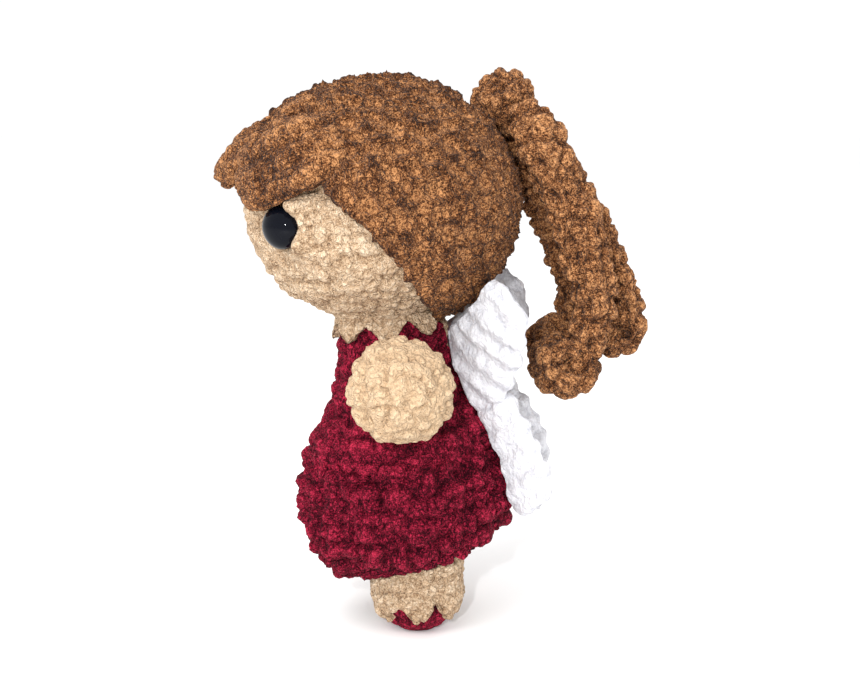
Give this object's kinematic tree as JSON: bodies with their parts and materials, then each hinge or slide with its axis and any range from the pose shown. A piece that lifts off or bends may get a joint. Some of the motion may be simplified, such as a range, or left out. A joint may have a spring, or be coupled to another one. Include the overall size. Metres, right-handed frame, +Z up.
{
  "type": "plush fairy doll",
  "caption": "Crocheted plush fairy doll with wine-red dress and shoes, brown hair in a ponytail, round head, stub arms and soft white wings.",
  "frame": {"origin": "middle of the doll's bounding box, on the floor plane it stands on", "axes": "+Z up, the face towards -Y, the doll's own left side towards +X"},
  "size_m": [0.1284, 0.1698, 0.2215],
  "materials": {
    "skin_chenille": "velvety crocheted chenille",
    "wine_chenille": "velvety crocheted chenille",
    "brown_chenille": "velvety crocheted chenille",
    "white_chenille": "velvety crocheted chenille",
    "eye_plastic": "polished",
    "washer_plastic": "moulded",
    "fibre_filling": "loose polyester fibre"
  },
  "bodies": {
    "torso": {"dress_bodice": "wine_chenille", "body_stuffing": "fibre_filling", "dress_skirt": "wine_chenille"},
    "neck": {"neck_collar": "skin_chenille"},
    "head": {"head_shell": "skin_chenille", "head_stuffing": "fibre_filling", "eye_left": "eye_plastic", "eye_right": "eye_plastic", "eye_washer_left": "washer_plastic", "eye_washer_right": "washer_plastic", "hair_cap": "brown_chenille", "fringe_left": "brown_chenille", "fringe_center": "brown_chenille", "fringe_right": "brown_chenille", "ponytail_knot": "brown_chenille"},
    "strand_left": {"curl_left": "brown_chenille"},
    "strand_right": {"curl_right": "brown_chenille"},
    "strand_back": {"curl_back": "brown_chenille"},
    "arm_left": {"arm_shell_left": "skin_chenille", "arm_stuffing_left": "fibre_filling"},
    "arm_right": {"arm_shell_right": "skin_chenille", "arm_stuffing_right": "fibre_filling"},
    "wing_left": {"wing_left_upper": "white_chenille", "wing_left_lower": "white_chenille"},
    "wing_right": {"wing_right_upper": "white_chenille", "wing_right_lower": "white_chenille"},
    "leg_left": {"leg_shell_left": "skin_chenille", "leg_stuffing_left": "fibre_filling", "shoe_left": "wine_chenille"},
    "leg_right": {"leg_shell_right": "skin_chenille", "leg_stuffing_right": "fibre_filling", "shoe_right": "wine_chenille"}
  },
  "joints": [
    {"name": "head_nod", "type": "hinge", "parent": "torso", "child": "neck", "pos_m": [0, -0.02023, 0.12581], "axis": [1, 0, 0], "range_deg": [-3, 10], "stiffness_Nm_per_rad": 1, "deforming": ["neck_collar"]},
    {"name": "head_turn", "type": "hinge", "parent": "neck", "child": "head", "pos_m": [0, -0.02023, 0.12581], "axis": [0, -0.1045, 0.9945], "range_deg": [-15, 15], "stiffness_Nm_per_rad": 1},
    {"name": "strand_left_swing", "type": "hinge", "parent": "head", "child": "strand_left", "pos_m": [-0.0126, 0.02593, 0.20859], "axis": [0.225, -0.969, -0.1018], "range_deg": [0, 60]},
    {"name": "strand_right_swing", "type": "hinge", "parent": "head", "child": "strand_right", "pos_m": [-0.0126, 0.02593, 0.20859], "axis": [-0.224, 0.9557, 0.1907], "range_deg": [0, 60]},
    {"name": "strand_back_swing", "type": "hinge", "parent": "head", "child": "strand_back", "pos_m": [-0.0126, 0.02593, 0.20859], "axis": [0.9744, 0.2237, 0.0235], "range_deg": [0, 75]},
    {"name": "arm_left_lift", "type": "hinge", "parent": "torso", "child": "arm_left", "pos_m": [0.02555, -0.01704, 0.10503], "axis": [0, -0.9945, -0.1045], "range_deg": [-12, 18], "stiffness_Nm_per_rad": 0.08},
    {"name": "arm_right_lift", "type": "hinge", "parent": "torso", "child": "arm_right", "pos_m": [-0.02555, -0.01704, 0.10503], "axis": [0, 0.9945, 0.1045], "range_deg": [-12, 18], "stiffness_Nm_per_rad": 0.08},
    {"name": "leg_left_step", "type": "hinge", "parent": "torso", "child": "leg_left", "pos_m": [0.0143, -0.00851, 0.026], "axis": [-1, 0, 0], "range_deg": [-10, 12], "stiffness_Nm_per_rad": 2},
    {"name": "leg_right_step", "type": "hinge", "parent": "torso", "child": "leg_right", "pos_m": [-0.0143, -0.00851, 0.026], "axis": [-1, 0, 0], "range_deg": [-10, 12], "stiffness_Nm_per_rad": 2},
    {"name": "wing_left_flap", "type": "hinge", "parent": "torso", "child": "wing_left", "pos_m": [0.00992, 0.01554, 0.09588], "axis": [-0.1251, -0.5015, 0.8561], "range_deg": [0, 30], "stiffness_Nm_per_rad": 0.15},
    {"name": "wing_right_flap", "type": "hinge", "parent": "torso", "child": "wing_right", "pos_m": [-0.00992, 0.01554, 0.09588], "axis": [-0.0299, 0.5191, -0.8542], "range_deg": [0, 30], "stiffness_Nm_per_rad": 0.15}
  ]
}
